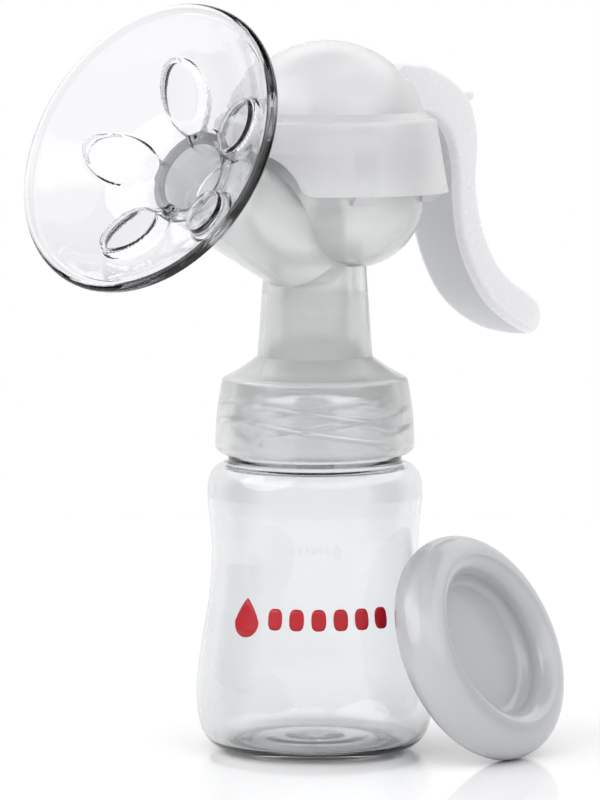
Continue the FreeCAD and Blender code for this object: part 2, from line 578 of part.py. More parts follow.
def make_lever():
    """S-shaped squeeze lever: fork under the stem's head, pivot boss, bend, grip and thumb ridge."""
    body = new_body("lever")
    tine_low = "pivot_height - tine_drop - tine_radius"
    tine_middle = "pivot_height - tine_drop"
    tine_high = "pivot_height - tine_drop + tine_radius"
    profile = outline(body, "profile", [
        ("pivot_x", tine_low),
        ("pivot_x + 5", f"{tine_low} + 0.4"), ("bend_x - 25.7", "bend_z + 8.7"),
        ("bend_x - 11.5", "bend_z + 0.7", "-17"), ("bend_x - 8.2", "bend_z - 16.5", "-34"),
        ("bend_x - 1.2", "bend_z - 38", "40"), ("tip_x - 4.5", "tip_z - 1.5", "50"),
        ("tip_x", "tip_z", "tip_round"), ("tip_x - 10.2", "tip_z + 10.8", "13"),
        ("tip_x - 25.5", "tip_z + 20.6", "-40"), ("bend_x - 0.7", "bend_z - 13.5", "-44"),
        ("bend_x", "bend_z", "-60"), ("bend_x - 12.5", "bend_z + 17.7", "18.5"),
        ("pivot_x + 1.4", "lever_top", "42"), ("pivot_x - 2.6", "lever_top - 5.4"),
        ("pivot_x - 8.6", "pivot_height - 0.5"), ("head_offset + 5", "pivot_height - 0.5"),
        ("head_offset", tine_high), ("head_offset - tine_radius", tine_middle, "tine_radius"),
        ("head_offset", tine_low, "tine_radius")])
    extruded(body, "blank", profile, "2 * lever_half_width")
    ridge = outline(body, "ridge_outline", [
        ("bend_x - 8", "ridge_z - ridge_thickness / 2"),
        ("ridge_tip - ridge_thickness / 2", "ridge_z - ridge_thickness / 2"),
        ("ridge_tip - ridge_thickness / 2", "ridge_z + ridge_thickness / 2",
         "ridge_thickness / 2 + 0.001"),
        ("bend_x - 8", "ridge_z + ridge_thickness / 2")])
    extruded(body, "thumb_ridge", ridge, "ridge_width")
    for side in ("", "-"):
        flank = outline(body, f"flank{len(side)}_outline", [
            ("head_offset - tine_radius - 1", f"{side}fork_half_width"),
            ("fork_end", f"{side}fork_half_width"), ("fork_end", f"{side}(lever_half_width + 1)"),
            ("head_offset - tine_radius - 1", f"{side}(lever_half_width + 1)")], "XY_Plane",
            at=(UPRIGHT, {"Base__z": "pivot_height"}))
        extruded(body, f"flank{len(side)}", flank, "40", cut=True)
    fork_slot = "stem_neck_radius + fork_gap"
    slot = outline(body, "fork_outline", [
        ("head_offset - tine_radius - 1", f"-({fork_slot})"),
        ("fork_end - 2", f"-({fork_slot})"), ("fork_end - 2", fork_slot),
        ("head_offset - tine_radius - 1", fork_slot)], "XY_Plane",
        at=(UPRIGHT, {"Base__z": "pivot_height"}))
    extruded(body, "fork", slot, "40", cut=True)
    bore_across(body, "pin_hole", "pivot_x", "pin_radius + running_gap")


def make_lever_pivot_pin():
    """Plain pin through the cover's ears and the lever."""
    pin = doc.addObject("Part::Cylinder", "lever_pivot_pin")
    pin.Label = "lever_pivot_pin"
    half = "(lever_half_width + lever_side_gap + ear_thickness)"
    pin.Placement = Placement(Vector(), Rotation(Vector(1, 0, 0), -90))
    bind(pin, Radius="pin_radius", Height=f"2 * {half}", Placement__Base__x="pivot_x",
         Placement__Base__y=f"-{half}", Placement__Base__z="pivot_height")
    doc.recompute()


def make_bottle_stand():
    """White ring-shaped stand with a round roll and a shallow recess, leaning on the bottle."""
    body = new_body("bottle_stand")
    hub = "stand_radius - stand_roll"
    turned(body, "roll", [
        ("0", "stand_recess_floor - stand_floor"),
        ("stand_hollow - 3", "stand_recess_floor - stand_floor"),
        ("stand_hollow", "-stand_roll + 0.6"), (hub, "-stand_roll"),
        ("stand_radius", "0", "stand_roll"), (hub, "stand_roll", "stand_roll"),
        ("stand_hollow + 1", "stand_recess_floor + 3", "stand_lip"),
        ("stand_hollow - 2", "stand_recess_floor", "-stand_lip_foot"), ("0", "stand_recess_floor")])
    turn = "rotation(vector(0; 0; 1); stand_turn) * rotation(vector(0; 1; 0); 90 - stand_tilt)"
    spot = f"vector(stand_x; stand_y; ({hub}) * cos(stand_tilt) + stand_roll)"
    body.setExpression("Placement", cells(f"placement({spot}; {turn})"))
    doc.recompute()


SUB_PARTS = (make_bottle, make_collar_seal, make_pump_body, make_milk_tube, make_duckbill_valve,
             make_massage_cushion, make_diaphragm, make_stem, make_dome_cover, make_lever,
             make_lever_pivot_pin, make_bottle_stand)


def check_document(pieces):
    """Stops if anything failed to compute, or if a sub-part has no sound solid."""
    for item in doc.Objects:
        if {"Invalid", "Error"} & set(item.State):
            raise ValueError(f"{item.Name} is {item.State}")
    for piece in pieces:
        shape = piece.Shape
        if shape.isNull() or not shape.isValid() or len(shape.Solids) != 1:
            raise ValueError(f"{piece.Label} is not one valid solid")


def main():
    for make in SUB_PARTS:
        make()
    doc.recompute()
    pieces = [item for item in doc.Objects if item.TypeId in ("PartDesign::Body", "Part::Cylinder")]
    check_document(pieces)
    os.makedirs("parts", exist_ok=True)
    for piece in pieces:
        piece.Shape.exportStep(f"parts/{piece.Label}.step")
        box = piece.Shape.BoundBox
        print(f"{piece.Label}: {piece.Shape.Volume:.0f} mm3, Z {box.ZMin:.1f} to {box.ZMax:.1f}")


main()
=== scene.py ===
"""Manual breast pump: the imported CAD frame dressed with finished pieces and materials."""

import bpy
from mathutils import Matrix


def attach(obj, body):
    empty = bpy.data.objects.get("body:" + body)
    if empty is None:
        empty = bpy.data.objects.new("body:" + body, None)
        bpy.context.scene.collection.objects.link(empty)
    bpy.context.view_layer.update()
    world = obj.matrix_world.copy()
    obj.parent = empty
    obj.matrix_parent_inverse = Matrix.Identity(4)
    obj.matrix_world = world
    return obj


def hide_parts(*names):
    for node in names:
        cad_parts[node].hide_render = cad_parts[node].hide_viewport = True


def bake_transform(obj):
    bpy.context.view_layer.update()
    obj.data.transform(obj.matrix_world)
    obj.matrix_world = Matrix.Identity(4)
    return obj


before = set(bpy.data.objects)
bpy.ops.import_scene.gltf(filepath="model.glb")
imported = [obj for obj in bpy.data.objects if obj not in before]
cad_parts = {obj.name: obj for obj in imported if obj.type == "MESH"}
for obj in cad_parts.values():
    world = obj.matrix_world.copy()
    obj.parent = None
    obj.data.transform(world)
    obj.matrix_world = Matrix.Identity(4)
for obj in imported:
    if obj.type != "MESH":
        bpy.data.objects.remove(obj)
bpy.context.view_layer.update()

from math import cos, hypot, pi, radians, sin, sqrt, tau

import bmesh
import bpy
from mathutils import Matrix, Vector

MM = 0.001
scene = bpy.context.scene
scene.view_settings.view_transform = "Standard"


# --- Camera -------------------------------------------------------------------------------------
# A long portrait lens a little above the pump, off its left front, as for a catalogue picture.
VIEW_TURN = radians(-50.4)
VIEW_DROP = radians(5.4)
VIEW_DISTANCE = 1.4
AIM = Vector((4.48, 9.18, 98.46)) * MM
FRAME_HEIGHT = 0.228
SENSOR_WIDTH = 36

camera = bpy.data.objects.new("camera", bpy.data.cameras.new("camera"))
scene.collection.objects.link(camera)
scene.camera = camera
camera.data.sensor_width = SENSOR_WIDTH
camera.data.lens = SENSOR_WIDTH * VIEW_DISTANCE / FRAME_HEIGHT
camera.rotation_euler = (pi / 2 - VIEW_DROP, 0, VIEW_TURN)
toward_camera = Vector((sin(VIEW_TURN) * cos(VIEW_DROP), -cos(VIEW_TURN) * cos(VIEW_DROP),
                        sin(VIEW_DROP)))
camera.location = AIM + VIEW_DISTANCE * toward_camera


# --- Studio -------------------------------------------------------------------------------------
# A white table in a white room with dark side walls and a dim ceiling, lit by two very broad soft
# lights. Dark walls seen in reflection draw the grey lines along the edges of clear plastic.
def linear(hex_colour):
    """An sRGB hex colour as linear RGBA."""
    parts = [int(hex_colour[i:i + 2], 16) / 255 for i in (1, 3, 5)]
    return (*[p / 12.92 if p <= 0.04045 else ((p + 0.055) / 1.055) ** 2.4 for p in parts], 1.0)


def add(tree, kind, links=None, **settings):
    """Adds a node, sets its properties or inputs, and links sockets into its inputs."""
    made = tree.nodes.new(kind)
    for name, value in settings.items():
        if hasattr(made, name):
            setattr(made, name, value)
        else:
            made.inputs[name.replace("_", " ").title()].default_value = value
    for name, source in (links or {}).items():
        if isinstance(source, bpy.types.NodeSocket):
            tree.links.new(source, made.inputs[name])
        else:
            made.inputs[name].default_value = source
    return made


def new_material(name):
    material = bpy.data.materials.new(name)
    material.use_nodes = True
    return material, material.node_tree, material.node_tree.nodes["Principled BSDF"]


def soft_light(name, turn, rise, strength, spread):
    """A broad far light, degrees to the right of the camera and up, and as wide as its spread."""
    light = bpy.data.lights.new(name, "SUN")
    light.energy = strength
    light.angle = radians(spread)
    lamp = bpy.data.objects.new(name, light)
    angle = VIEW_TURN - pi / 2 + radians(turn)
    level = cos(radians(rise))
    away = Vector((cos(angle) * level, sin(angle) * level, sin(radians(rise))))
    lamp.rotation_euler = away.to_track_quat("Z", "Y").to_euler()
    scene.collection.objects.link(lamp)


soft_light("window", -66, 40, 1.25, 58)
soft_light("fill", 30, 52, 0.45, 60)

SIDE_SHADE, WALL_SHADE, WINDOW_SHADE, TOP_SHADE, ROOM_LIGHT = 0.1, 1.03, 1.5, 0.12, 0.84
WINDOW_RISES, TOP_STARTS = (0.42, 0.5), (0.78, 0.86)
world = bpy.data.worlds.new("studio")
scene.world = world
world.use_nodes = True
world.cycles.sampling_method = "NONE"
sky = world.node_tree
way = add(sky, "ShaderNodeSeparateXYZ", {0: add(sky, "ShaderNodeTexCoord").outputs["Generated"]})
turn = add(sky, "ShaderNodeMath", {0: way.outputs["Y"], 1: way.outputs["X"]}, operation="ARCTAN2")
sideways = add(sky, "ShaderNodeMath", {0: turn.outputs[0], 1: 2.0, 2: -2.0 * (VIEW_TURN - pi / 2)},
               operation="MULTIPLY_ADD")
wave = add(sky, "ShaderNodeMath", {0: sideways.outputs[0]}, operation="COSINE")
walls = add(sky, "ShaderNodeMapRange",
            {"Value": wave.outputs[0], "From Min": -0.96, "From Max": -0.45,
             "To Min": SIDE_SHADE, "To Max": WALL_SHADE})
upward = add(sky, "ShaderNodeMapRange", {"Value": way.outputs["Z"], "From Min": WINDOW_RISES[0],
                                         "From Max": WINDOW_RISES[1]})
bright = add(sky, "ShaderNodeMix", {0: upward.outputs[0], 2: walls.outputs[0], 3: WINDOW_SHADE})
overhead = add(sky, "ShaderNodeMapRange", {"Value": way.outputs["Z"], "From Min": TOP_STARTS[0],
                                           "From Max": TOP_STARTS[1]})
shade = add(sky, "ShaderNodeMix", {0: overhead.outputs[0], 2: bright.outputs[0], 3: TOP_SHADE})
banded = add(sky, "ShaderNodeBackground", {"Color": shade.outputs[0]})
even = add(sky, "ShaderNodeBackground",
           {"Color": (ROOM_LIGHT, ROOM_LIGHT, ROOM_LIGHT * 1.01, 1.0)})
seen = sky.nodes["Background"]
seen.inputs["Color"].default_value = (1, 1, 1, 1)
ray = add(sky, "ShaderNodeLightPath")
room = add(sky, "ShaderNodeMixShader", {0: ray.outputs["Is Diffuse Ray"], 1: banded.outputs[0],
                                        2: even.outputs[0]})
both = add(sky, "ShaderNodeMixShader", {0: ray.outputs["Is Camera Ray"], 1: room.outputs[0],
                                        2: seen.outputs[0]})
sky.links.new(both.outputs[0], sky.nodes["World Output"].inputs["Surface"])

FLOOR_RADIUS = 0.55
floor_paint, _, floor_shader = new_material("white_acrylic_sheet")
floor_shader.inputs["Base Color"].default_value = linear("#fcfcfc")
floor_shader.inputs["Roughness"].default_value = 0.1
floor_shader.inputs["IOR"].default_value = 1.3
sheet = bmesh.new()
bmesh.ops.create_circle(sheet, cap_ends=True, segments=96, radius=FLOOR_RADIUS)
floor_mesh = bpy.data.meshes.new("floor")
sheet.to_mesh(floor_mesh)
floor_mesh.materials.append(floor_paint)
floor = bpy.data.objects.new("floor", floor_mesh)
scene.collection.objects.link(floor)


# --- Bottle -------------------------------------------------------------------------------------
# Clear polypropylene, injection-blown: a waisted wall drawn as one smooth line, a raised punt with
# the cut-off gate in its middle, and a screw neck with four coarse ridges that the mould leaves.
BOTTLE_WALL, NECK_RADIUS, LOWEST_INSIDE = 1.4, 22.6, 3.2
BOTTLE_PROFILE = [(24.0, 0.0), (29.4, 2.0), (32.6, 7.0), (33.8, 16.4), (32.6, 29.0), (30.3, 43.0),
                  (29.4, 55.7), (30.0, 66.0), (30.5, 73.0), (29.9, 77.8), (27.9, 80.9), (25.6, 82.0)]
NECK_PROFILE = [(24.5, 82.3), (24.5, 83.8), (22.9, 84.2), (NECK_RADIUS, 85.0), (NECK_RADIUS, 104.2),
                (22.3, 104.5)]
PUNT_PROFILE = [(21.0, 0.0), (19.4, 0.7), (17.0, 2.0), (9.0, 2.6)]
GATE = [(1.9, 2.7), (1.9, 0.9), (1.4, 0.6)]
INNER_FLOOR = [(3.2, 3.9), (9.0, 3.8), (17.0, 3.4), (21.2, 2.3), (24.0, 1.6)]


def smooth_line(points, steps):
    """Points along a Catmull-Rom line through (radius, height) points."""
    line = []
    ends = [points[0]] + list(points) + [points[-1]]
    for i in range(1, len(ends) - 2):
        p = [Vector(q) for q in ends[i - 1:i + 3]]
        for k in range(steps):
            t = k / steps
            line.append(tuple(0.5 * (2 * p[1] + (p[2] - p[0]) * t
                                     + (2 * p[0] - 5 * p[1] + 4 * p[2] - p[3]) * t * t
                                     + (3 * p[1] - p[0] - 3 * p[2] + p[3]) * t ** 3)))
    return line + [tuple(points[-1])]


def inset(line, wall):
    """The line moved to its left by a wall, and back in order from its far end."""
    moved = []
    for i, here in enumerate(line):
        before, after = Vector(line[max(i - 1, 0)]), Vector(line[min(i + 1, len(line) - 1)])
        along = (after - before).normalized()
        moved.append((here[0] - along.y * wall, here[1] + along.x * wall))
    return moved[::-1]


def turn_mesh(name, line, around, closed, lift=None):
    """A turned mesh of a line of (radius, height) points; an open line is closed on the axis."""
    mesh = bmesh.new()
    rings = []
    for r, z in line:
        if r < 1e-6:
            rings.append([mesh.verts.new((0, 0, z))])
            continue
        ring = []
        for k in range(around):
            angle = tau * k / around
            raised = z + (lift(r, angle) if lift else 0)
            ring.append(mesh.verts.new((r * cos(angle), r * sin(angle), raised)))
        rings.append(ring)
    pairs = list(zip(rings, rings[1:] + rings[:1])) if closed else list(zip(rings, rings[1:]))
    for low, high in pairs:
        for k in range(around):
            following = (k + 1) % around
            corners = ([low[k], low[following]] if len(low) > 1 else [low[0]])
            corners += ([high[following], high[k]] if len(high) > 1 else [high[0]])
            mesh.faces.new(corners)
    bmesh.ops.recalc_face_normals(mesh, faces=mesh.faces)
    made = bpy.data.meshes.new(name)
    mesh.to_mesh(made)
    mesh.free()
    made.transform(Matrix.Scale(MM, 4))
    made.shade_smooth()
    return made


def new_piece(name, mesh, material, body):
    """Puts a finished mesh in the scene on its body, with its material."""
    piece = bpy.data.objects.new(name, mesh)
    scene.collection.objects.link(piece)
    mesh.materials.append(material)
    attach(piece, body)
    return piece


def mm_texture(tree, size):
    """Object coordinates scaled so that one unit of a pattern is this many millimetres."""
    place = add(tree, "ShaderNodeTexCoord").outputs["Object"]
    return add(tree, "ShaderNodeMapping", {"Vector": place}, vector_type="POINT",
               Scale=(1 / (size * MM),) * 3).outputs[0]


def uneven_gloss(tree, shader, size, smoothest, roughest):
    """Roughness that drifts softly, as on a mould's polished steel."""
    cloud = add(tree, "ShaderNodeTexNoise", {"Vector": mm_texture(tree, size), "Detail": 3.0})
    level = add(tree, "ShaderNodeMapRange",
                {"Value": cloud.outputs[0], "From Min": 0.3, "From Max": 0.7,
                 "To Min": smoothest, "To Max": roughest})
    tree.links.new(level.outputs[0], shader.inputs["Roughness"])


def relief(tree, shader, size, depth, detail=2.0):
    """A bump of noise grains of one size, both in millimetres."""
    grain = add(tree, "ShaderNodeTexNoise", {"Vector": mm_texture(tree, size), "Detail": detail})
    bump = add(tree, "ShaderNodeBump", {"Height": grain.outputs[0], "Strength": 1.0,
                                        "Distance": depth * MM})
    tree.links.new(bump.outputs[0], shader.inputs["Normal"])


def deep_tint(material, density):
    """Grey absorption per metre of plastic, which draws the edges where a wall is seen end on."""
    tree = material.node_tree
    absorbed = add(tree, "ShaderNodeVolumeAbsorption", Color=linear("#8b9096"), Density=density)
    tree.links.new(absorbed.outputs[0], tree.nodes["Material Output"].inputs["Volume"])


# Blown clear polypropylene: very smooth, its gloss drifting softly over a finger's width.
clear_pp, clear_tree, clear_shader = new_material("blown_clear_polypropylene")
clear_shader.inputs["Base Color"].default_value = linear("#f4f5f6")
clear_shader.inputs["IOR"].default_value = 1.49
clear_shader.inputs["Transmission Weight"].default_value = 1.0
uneven_gloss(clear_tree, clear_shader, 12, 0.015, 0.05)
deep_tint(clear_pp, 40.0)

outer = smooth_line(BOTTLE_PROFILE, 7)
neck = smooth_line(NECK_PROFILE, 3)
punt = smooth_line(PUNT_PROFILE, 4)[::-1]
inner_wall = [p for p in inset(outer, BOTTLE_WALL) if p[1] > LOWEST_INSIDE]
inner_neck = [(NECK_RADIUS - BOTTLE_WALL, z) for z in (104.5, 96.0, 88.0, 82.6)]
bottle_line = ([(0.0, 0.6)] + GATE[::-1] + punt + outer + neck + inner_neck + inner_wall
               + INNER_FLOOR[::-1] + [(0.0, 3.9)])
bottle_wall = turn_mesh("bottle_wall", bottle_line, 144, closed=False)

# The screw ridges, wound as one curve each and set round the neck by a node tree.
ridges_tree = bpy.data.node_groups.new("neck_ridges", "GeometryNodeTree")
for socket, kind, value in (("Geometry", "NodeSocketGeometry", None),
                            ("Root Radius", "NodeSocketFloat", 22.5),
                            ("Lowest", "NodeSocketFloat", 88.6), ("Lead", "NodeSocketFloat", 20.8),
                            ("Turns", "NodeSocketFloat", 0.5), ("Starts", "NodeSocketInt", 4),
                            ("Ridge Radius", "NodeSocketFloat", 1.0),
                            ("Plastic", "NodeSocketMaterial", None)):
    made = ridges_tree.interface.new_socket(socket, in_out="INPUT", socket_type=kind)
    if value is not None:
        made.default_value = value
ridges_tree.interface.new_socket("Geometry", in_out="OUTPUT", socket_type="NodeSocketGeometry")
given = add(ridges_tree, "NodeGroupInput").outputs
rise = add(ridges_tree, "ShaderNodeMath", {0: given["Lead"], 1: given["Turns"]}, operation="MULTIPLY")
coil = add(ridges_tree, "GeometryNodeCurveSpiral", {"Resolution": 96, "Rotations": given["Turns"],
                                                    "Start Radius": given["Root Radius"],
                                                    "End Radius": given["Root Radius"],
                                                    "Height": rise.outputs[0]})
rounded = add(ridges_tree, "GeometryNodeCurvePrimitiveCircle",
              {"Resolution": 12, "Radius": given["Ridge Radius"]})
ridge = add(ridges_tree, "GeometryNodeCurveToMesh",
            {"Curve": coil.outputs[0], "Profile Curve": rounded.outputs[0], "Fill Caps": True})
step = add(ridges_tree, "ShaderNodeMath", {0: tau, 1: given["Starts"]}, operation="DIVIDE")
starts = add(ridges_tree, "GeometryNodeMeshLine",
             {"Count": given["Starts"], "Offset": (0.0, 0.0, 0.0)})
index = add(ridges_tree, "GeometryNodeInputIndex")
turned = add(ridges_tree, "ShaderNodeMath", {0: index.outputs[0], 1: step.outputs[0]},
             operation="MULTIPLY")
facing = add(ridges_tree, "ShaderNodeCombineXYZ", {"Z": turned.outputs[0]})
spread = add(ridges_tree, "GeometryNodeInstanceOnPoints",
             {"Points": starts.outputs[0], "Instance": ridge.outputs[0],
              "Rotation": facing.outputs[0]})
lift = add(ridges_tree, "ShaderNodeCombineXYZ", {"Z": given["Lowest"]})
raised = add(ridges_tree, "GeometryNodeTransform",
             {"Geometry": spread.outputs[0], "Translation": lift.outputs[0]})
real = add(ridges_tree, "GeometryNodeRealizeInstances", {"Geometry": raised.outputs[0]})
painted = add(ridges_tree, "GeometryNodeSetMaterial",
              {"Geometry": real.outputs[0], "Material": given["Plastic"]})
add(ridges_tree, "NodeGroupOutput", {"Geometry": painted.outputs[0]})

holder = bpy.data.objects.new("holder", bpy.data.meshes.new("holder"))
scene.collection.objects.link(holder)
winding = holder.modifiers.new("ridges", "NODES")
winding.node_group = ridges_tree
SOCKETS = {item.name: item.identifier for item in ridges_tree.interface.items_tree
           if item.in_out == "INPUT"}
for name, value in (("Root Radius", 22.5 * MM), ("Lowest", 88.6 * MM), ("Lead", 20.8 * MM),
                    ("Turns", 0.5), ("Starts", 4), ("Ridge Radius", 1.0 * MM), ("Plastic", clear_pp)):
    winding[SOCKETS[name]] = value
wound = holder.evaluated_get(bpy.context.evaluated_depsgraph_get())
ridge_mesh = bpy.data.meshes.new_from_object(wound)
bpy.data.objects.remove(holder)
ridge_mesh.shade_smooth()
new_piece("neck_ridges", ridge_mesh, clear_pp, "bottle")
bottle = new_piece("bottle_wall", bottle_wall, clear_pp, "bottle")
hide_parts("bottle")


# --- Printed mark -------------------------------------------------------------------------------
# A drop and a row of rounded beads, screen-printed in one red ink on the bottle's waist: a plain
# ornament that stands where a maker would print.
INK_LIFT = 0.05
INK_THICKNESS = 0.04
MARK_HEIGHT = 40.6
DROP_WIDTH, DROP_HEIGHT = 8.4, 11.0
BEADS = [(-11.4, 4.2), (-5.2, 4.2), (1.0, 4.2), (7.2, 4.2), (13.4, 4.2), (19.6, 4.2)]
BEAD_HEIGHT = 6.0
DROP_CENTRE = -20.6

ink, ink_tree, ink_shader = new_material("red_screen_ink")
ink_shader.inputs["IOR"].default_value = 1.5
blotch = add(ink_tree, "ShaderNodeTexNoise", {"Vector": mm_texture(ink_tree, 0.5), "Detail": 2.0})
reds = add(ink_tree, "ShaderNodeMix",
           {0: blotch.outputs[0], 6: linear("#b20018"), 7: linear("#a60014")}, data_type="RGBA")
ink_tree.links.new(reds.outputs[2], ink_shader.inputs["Base Color"])
uneven_gloss(ink_tree, ink_shader, 3, 0.3, 0.45)
relief(ink_tree, ink_shader, 0.35, 0.01)


def wall_radius(z):
    """The bottle's outer radius at a height."""
    for (r1, z1), (r2, z2) in zip(outer, outer[1:]):
        if z1 <= z <= z2:
            return r1 + (r2 - r1) * (z - z1) / (z2 - z1)
    raise ValueError("above the wall")


def print_shape(mesh, centre, width, edge, columns=24, rows=5):
    """Adds a shape wrapped on the wall; edge gives its low and high side at -1 to 1 across."""
    grid = []
    for i in range(columns + 1):
        across = -cos(pi * i / columns)
        low, high = edge(across)
        column = []
        for k in range(rows + 1):
            z = MARK_HEIGHT + low + (high - low) * k / rows
            radius = wall_radius(z) + INK_LIFT
            angle = VIEW_TURN - pi / 2 + (centre + across * width / 2) / wall_radius(MARK_HEIGHT)
            column.append(mesh.verts.new((radius * cos(angle), radius * sin(angle), z)))
        grid.append(column)
    for left, right in zip(grid, grid[1:]):
        for k in range(rows):
            mesh.faces.new((left[k], right[k], right[k + 1], left[k + 1]))


def drop_edge(across):
    """A drop: round below, drawn up to a point above."""
    low = -DROP_HEIGHT * 0.38 * sqrt(max(1 - across * across, 0)) - DROP_HEIGHT * 0.12
    shoulder = (1 - abs(across)) ** 0.85 * (1 + 0.25 * abs(across))
    high = -DROP_HEIGHT * 0.12 + DROP_HEIGHT * 0.62 * shoulder
    return low, high


def bead_edge(across):
    """A rounded bead."""
    half = BEAD_HEIGHT / 2 * (1 - abs(across) ** 3.2) ** (1 / 2.6)
    return -half, half


printed = bmesh.new()
print_shape(printed, DROP_CENTRE, DROP_WIDTH, drop_edge)
for centre, width in BEADS:
    print_shape(printed, centre, width, bead_edge)
bmesh.ops.remove_doubles(printed, verts=printed.verts, dist=0.002)
mark_mesh = bpy.data.meshes.new("printed_mark")
printed.to_mesh(mark_mesh)
mark_mesh.transform(Matrix.Scale(MM, 4))
mark_mesh.shade_smooth()
mark = new_piece("printed_mark", mark_mesh, ink, "bottle")
film = mark.modifiers.new("film", "SOLIDIFY")
film.thickness = INK_THICKNESS * MM
film.offset = 0.0


# --- Head moulding and milk tube ----------------------------------------------------------------
# Two frosted polypropylene mouldings: the head with its skirt, shroud, bowl and tunnel in one, and
# the milk tube pressed into it from below. Light passes through the walls but comes out soft.
def dress(name, material):
    """Gives a CAD node its finish."""
    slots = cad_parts[name].data.materials
    slots.clear()
    slots.append(material)


frosted_pp, frosted_tree, frosted_shader = new_material("frosted_polypropylene")
frosted_shader.inputs["Base Color"].default_value = linear("#feffff")
frosted_shader.inputs["IOR"].default_value = 1.49
frosted_shader.inputs["Transmission Weight"].default_value = 0.72
uneven_gloss(frosted_tree, frosted_shader, 9, 0.15, 0.23)
relief(frosted_tree, frosted_shader, 0.8, 0.003)
dress("pump_body", frosted_pp)
dress("milk_tube", frosted_pp)


# --- Silicone ring, valve and diaphragm ---------------------------------------------------------
# Milky liquid silicone, moulded: the flat ring on the bottle's lip, the duckbill valve on the
# tube's nozzle, and the cup that hooks over the bowl's rim.
milky, milky_tree, milky_shader = new_material("milky_silicone")
milky_shader.inputs["Base Color"].default_value = linear("#f6f7f8")
milky_shader.inputs["IOR"].default_value = 1.41
uneven_gloss(milky_tree, milky_shader, 4, 0.34, 0.5)
relief(milky_tree, milky_shader, 0.4, 0.01)
dress("collar_seal", milky)
dress("duckbill_valve", milky)

CUP_CENTRE = 5.6
CUP_LINE = [(3.1, 161.0), (12.0, 161.0), (19.4, 161.0), (22.0, 161.6), (24.2, 163.4), (25.3, 166.0),
            (25.4, 169.0), (25.4, 173.65), (27.25, 173.65), (27.25, 169.6), (28.45, 169.6),
            (28.45, 174.4), (28.0, 174.85), (24.6, 174.85), (24.2, 174.4), (24.2, 167.0),
            (23.2, 164.2), (21.4, 162.8), (19.4, 162.2), (12.0, 162.2), (3.1, 162.2)]
cup_mesh = turn_mesh("diaphragm_cup", CUP_LINE, 96, closed=True)
cup_mesh.transform(Matrix.Translation((CUP_CENTRE * MM, 0, 0)))
cup = bpy.data.objects.new("diaphragm_cup", cup_mesh)
scene.collection.objects.link(cup)
cup_mesh.materials.append(milky)
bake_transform(cup)
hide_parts("diaphragm")


# --- Stem and pivot pin -------------------------------------------------------------------------
# Hard white polypropylene, turned smooth by its mould, with a faint satin from handling.
white_pp, white_tree, white_shader = new_material("white_polypropylene")
white_shader.inputs["Base Color"].default_value = linear("#f4f4f5")
white_shader.inputs["IOR"].default_value = 1.49
uneven_gloss(white_tree, white_shader, 5, 0.24, 0.36)
relief(white_tree, white_shader, 0.5, 0.008)
dress("diaphragm_stem", white_pp)
dress("lever_pivot_pin", white_pp)


# --- Funnel -------------------------------------------------------------------------------------
# Crystal-clear thermoplastic rubber, moulded in one: a beaded rim, a dished wall with five hollow
# petals that press and let go, a rounded throat, and a sleeve pushed into the head's tunnel.
FUNNEL_TILT = radians(25.5)
FUNNEL_AXIS_HEIGHT = 139.5
FUNNEL_AROUND = 300
DISH = [(10.5, 59.6), (12.0, 60.05), (14.0, 60.81), (16.0, 61.58), (18.0, 62.35), (20.0, 63.13),
        (22.0, 63.93), (24.0, 64.85), (26.0, 65.9), (28.0, 67.11), (30.0, 68.49), (32.0, 70.06),
        (34.0, 71.86), (36.0, 73.92), (38.0, 76.32), (39.3, 77.9)]
RIM_RADIUS, RIM_REACH, RIM_BEAD = 41.0, 78.4, 1.5
THROAT = [(9.4, 44.0), (9.4, 50.0), (9.4, 56.6), (9.55, 57.9), (9.85, 58.9)]
SLEEVE = [(13.6, 57.06), (10.9, 57.06), (10.9, 50.0), (10.9, 44.3), (10.6, 44.0)]
FUNNEL_WALL = 1.5
PETALS, PETAL_TURN, PETAL_RING = 5, radians(14.0), 21.6
PETAL_REACH, PETAL_SPREAD = 9.9, 7.3
PETALS_FROM, PETALS_TO, BACK_FROM, DISH_STEP = 10.6, 33.0, 14.1, 0.42
PETAL_RISE, PETAL_SIDE, PETAL_CROWN = 4.2, 0.2, 0.8


def petal_lift(radius, angle):
    """How far the wall is pushed out along the funnel's axis, in millimetres."""
    if not PETALS_FROM < radius < PETALS_TO:
        return 0.0
    nearest = (angle - PETAL_TURN + pi / PETALS) % (tau / PETALS) - pi / PETALS
    along = (radius * cos(nearest) - PETAL_RING) / PETAL_REACH
    across = radius * sin(nearest) / PETAL_SPREAD
    out = hypot(along, across)
    if out >= 1.0:
        return 0.0
    side = min((1.0 - out) / PETAL_SIDE, 1.0)
    return PETAL_RISE * side * side * (3 - 2 * side) + PETAL_CROWN * (1 - out * out)


def resampled(line, step):
    """The smooth line through points at about even steps."""
    fine = smooth_line(line, 12)
    kept = [fine[0]]
    for here in fine[1:]:
        if hypot(here[0] - kept[-1][0], here[1] - kept[-1][1]) >= step:
            kept.append(here)
    return kept


rim = [(RIM_RADIUS + RIM_BEAD * cos(a), RIM_REACH + RIM_BEAD * sin(a))
       for a in (radians(200 - 25 * k) for k in range(11))]
dish_front = resampled(DISH, DISH_STEP)
dish_back = [p for p in inset(dish_front, -FUNNEL_WALL) if p[0] > BACK_FROM]
funnel_line = THROAT + dish_front + rim + dish_back + SLEEVE
funnel_mesh = turn_mesh("petal_funnel", funnel_line, FUNNEL_AROUND, closed=True, lift=petal_lift)
funnel_mesh.transform(Matrix.Translation((0, 0, FUNNEL_AXIS_HEIGHT * MM))
                      @ Matrix.Rotation(-(pi / 2 - FUNNEL_TILT), 4, "Y"))

